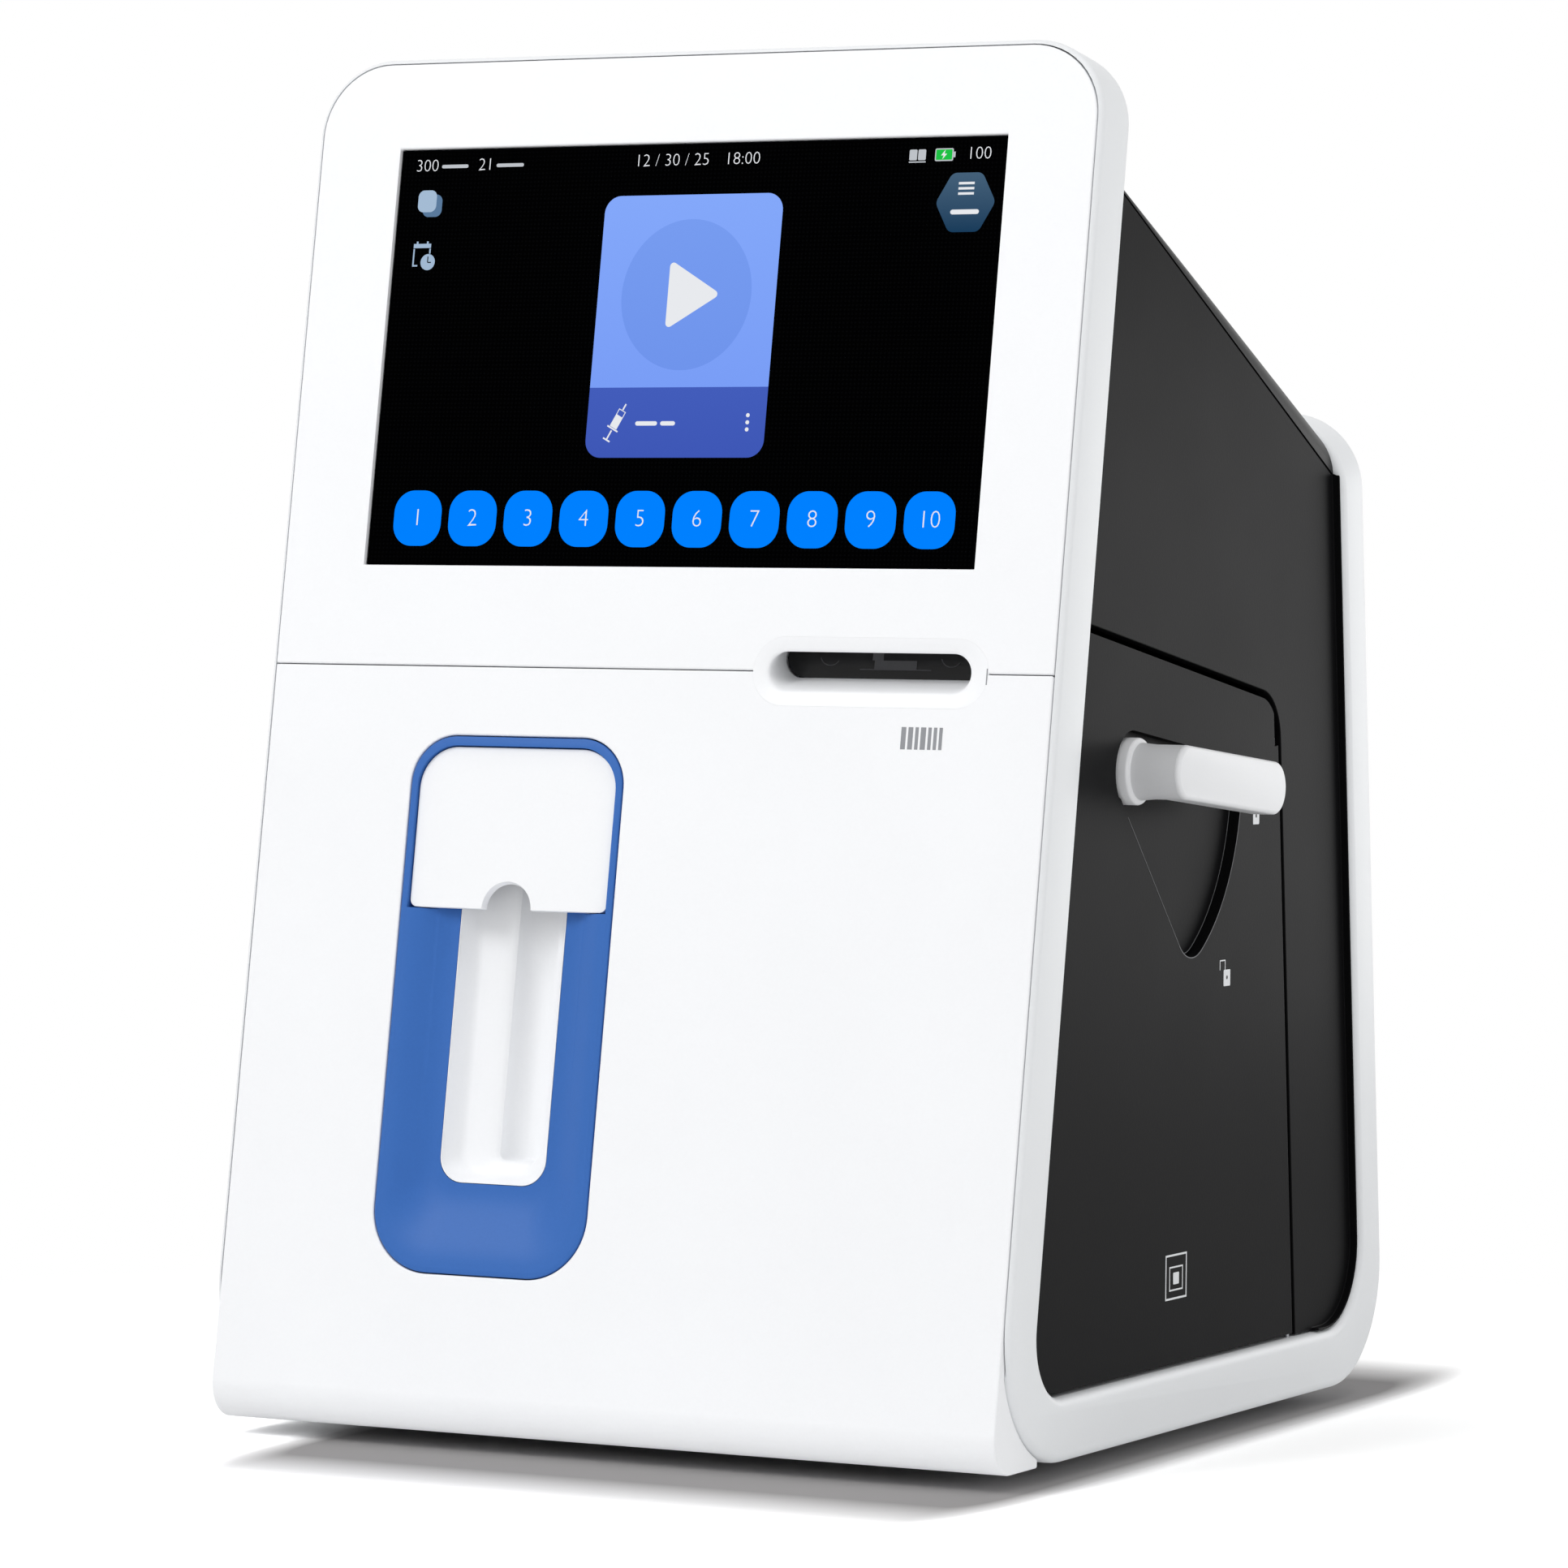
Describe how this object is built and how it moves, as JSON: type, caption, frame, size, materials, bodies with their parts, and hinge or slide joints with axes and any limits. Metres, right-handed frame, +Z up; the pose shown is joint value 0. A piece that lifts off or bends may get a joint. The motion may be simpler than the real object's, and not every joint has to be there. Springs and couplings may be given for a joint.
{
  "type": "blood gas analyzer",
  "caption": "Bench blood gas analyzer with a leaning touch screen, blue syringe inlet with flap, scanner slot, and a side door with lock lever over a sliding cartridge",
  "frame": {"origin": "on the bench, under the middle of the whole object's box", "axes": "+Z up, the screen faces -Y and leans back, the cartridge door is on +X"},
  "size_m": [0.2356, 0.2416, 0.3516],
  "materials": {
    "front_white": "fine satin",
    "band_white": "fine satin",
    "inlet_blue": "fine satin",
    "cover_dark": "fine texture",
    "lever_grey": "satin",
    "screen_black": "gloss",
    "plain_steel": "brushed",
    "board_green": "satin",
    "foot_rubber": "matt"
  },
  "bodies": {
    "housing": {"base_plate": "plain_steel", "battery_pack": "cover_dark", "cartridge_cradle": "cover_dark", "chassis_plate": "plain_steel", "display_bracket": "plain_steel", "door_pin_lower": "plain_steel", "door_pin_upper": "plain_steel", "fan_frame": "cover_dark", "flap_pin": "plain_steel", "foot_left_front": "foot_rubber", "foot_left_rear": "foot_rubber", "foot_right_front": "foot_rubber", "foot_right_rear": "foot_rubber", "front_panel_lower": "front_white", "front_panel_upper": "front_white", "guide_rod": "plain_steel", "lcd_module": "plain_steel", "mainboard": "board_green", "network_port": "plain_steel", "outer_frame": "band_white", "panel_screw_1": "plain_steel", "panel_screw_2": "plain_steel", "panel_screw_3": "plain_steel", "panel_screw_4": "plain_steel", "partition_plate": "plain_steel", "power_inlet": "cover_dark", "power_supply": "plain_steel", "pump_head": "front_white", "pump_motor": "cover_dark", "rear_panel": "cover_dark", "sample_surround": "inlet_blue", "sampler_bracket": "plain_steel", "scanner_bezel": "front_white", "scanner_module": "cover_dark", "scanner_window": "screen_black", "sensor_block": "plain_steel", "side_cover_left": "cover_dark", "side_cover_right": "cover_dark", "stepper_motor": "cover_dark", "switch_housing": "cover_dark", "syringe_channel": "front_white", "top_cover": "cover_dark", "touch_glass": "screen_black", "usb_port_1": "plain_steel", "usb_port_2": "plain_steel"},
    "door": {"cartridge_door": "cover_dark"},
    "lever": {"lock_lever": "lever_grey", "lever_shaft": "plain_steel", "latch_cam": "plain_steel"},
    "cartridge_slider": {"cartridge": "front_white"},
    "flap": {"sample_flap": "front_white"},
    "probe": {"probe_carriage": "cover_dark", "probe_needle": "plain_steel"},
    "screw": {"lead_screw": "plain_steel"},
    "pump": {"pump_rotor": "lever_grey"},
    "fan": {"fan_rotor": "cover_dark"},
    "rocker": {"switch_rocker": "cover_dark"}
  },
  "joints": [
    {"name": "door_swing", "type": "hinge", "parent": "housing", "child": "door", "pos_m": [0.10063, 0.06493, 0.0207], "axis": [0, -0.0892, 0.996], "range_deg": [0, 100]},
    {"name": "lever_turn", "type": "hinge", "parent": "door", "child": "lever", "pos_m": [0.09953, -0.04124, 0.1713], "axis": [-1, 0, 0], "range_deg": [0, 40]},
    {"name": "cartridge_slide", "type": "slide", "parent": "housing", "child": "cartridge_slider", "axis": [1, 0, 0], "range_m": [0, 0.045]},
    {"name": "flap_swing", "type": "hinge", "parent": "housing", "child": "flap", "pos_m": [-0.04263, -0.09365, 0.16148], "axis": [-1, 0, 0], "range_deg": [0, 75], "stiffness_Nm_per_rad": 0.002, "springref_deg": -22.92},
    {"name": "probe_slide", "type": "slide", "parent": "housing", "child": "probe", "axis": [0, -0.1583, -0.9874], "range_m": [0, 0.028]},
    {"name": "screw_spin", "type": "hinge", "parent": "housing", "child": "screw", "pos_m": [-0.03062, -0.05631, 0.09877], "axis": [0, 0.1583, 0.9874], "range_deg": [0, 1260]},
    {"name": "pump_spin", "type": "hinge", "parent": "housing", "child": "pump", "pos_m": [0.00428, 0.04385, 0.194], "axis": [1, 0, 0], "continuous": true},
    {"name": "fan_spin", "type": "hinge", "parent": "housing", "child": "fan", "pos_m": [-0.05833, 0.09154, 0.19993], "axis": [0, 0.996, 0.0892], "continuous": true},
    {"name": "power_rocker", "type": "hinge", "parent": "housing", "child": "rocker", "pos_m": [0.02967, 0.11475, 0.06748], "axis": [1, 0, 0], "range_deg": [0, 16]}
  ],
  "couplings": [
    {"joint": "cartridge_slide", "follows": "door_swing", "m_per_rad": 0.02577},
    {"joint": "screw_spin", "follows": "probe_slide", "rad_per_m": 785.32}
  ]
}
